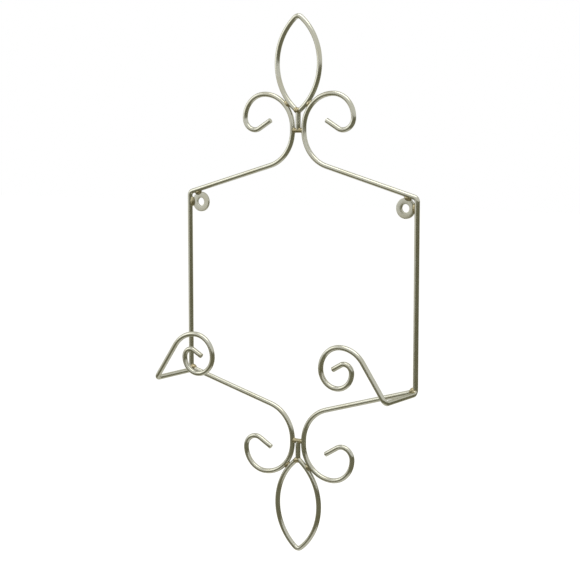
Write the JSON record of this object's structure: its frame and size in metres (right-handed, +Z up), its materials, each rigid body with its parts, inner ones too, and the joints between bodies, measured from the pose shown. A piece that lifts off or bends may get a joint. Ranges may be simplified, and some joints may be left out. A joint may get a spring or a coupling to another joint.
{
  "type": "wall plate rack",
  "caption": "Wall-hung rack of bent round wire that shows one plate: an open frame with leaf and scroll finials, two forward arms with spiral hooks and ring eyelets for screws.",
  "frame": {"origin": "midway between the two screw holes, on the plane of the wall", "axes": "+Z up, +X to the right seen from the front, the front faces -Y and the wall is at +Y"},
  "size_m": [0.2038, 0.0488, 0.4064],
  "materials": {
    "gold_wire": "satin pale gold over round steel wire",
    "braze": "satin pale gold over small weld pools, a little yellower"
  },
  "bodies": {
    "root": {"top_leaf": "gold_wire", "bottom_leaf": "gold_wire", "left_side_wire": "gold_wire", "right_side_wire": "gold_wire", "left_lower_wire": "gold_wire", "right_lower_wire": "gold_wire", "left_eyelet": "gold_wire", "right_eyelet": "gold_wire", "top_neck_braze": "braze", "bottom_neck_braze": "braze", "top_leaf_root_weld": "braze", "bottom_leaf_root_weld": "braze", "top_left_scroll_weld": "braze", "top_right_scroll_weld": "braze", "bottom_left_scroll_weld": "braze", "bottom_right_scroll_weld": "braze", "left_corner_weld": "braze", "right_corner_weld": "braze", "left_eyelet_stile_weld": "braze", "right_eyelet_stile_weld": "braze", "left_eyelet_shoulder_weld": "braze", "right_eyelet_shoulder_weld": "braze"}
  },
  "joints": []
}
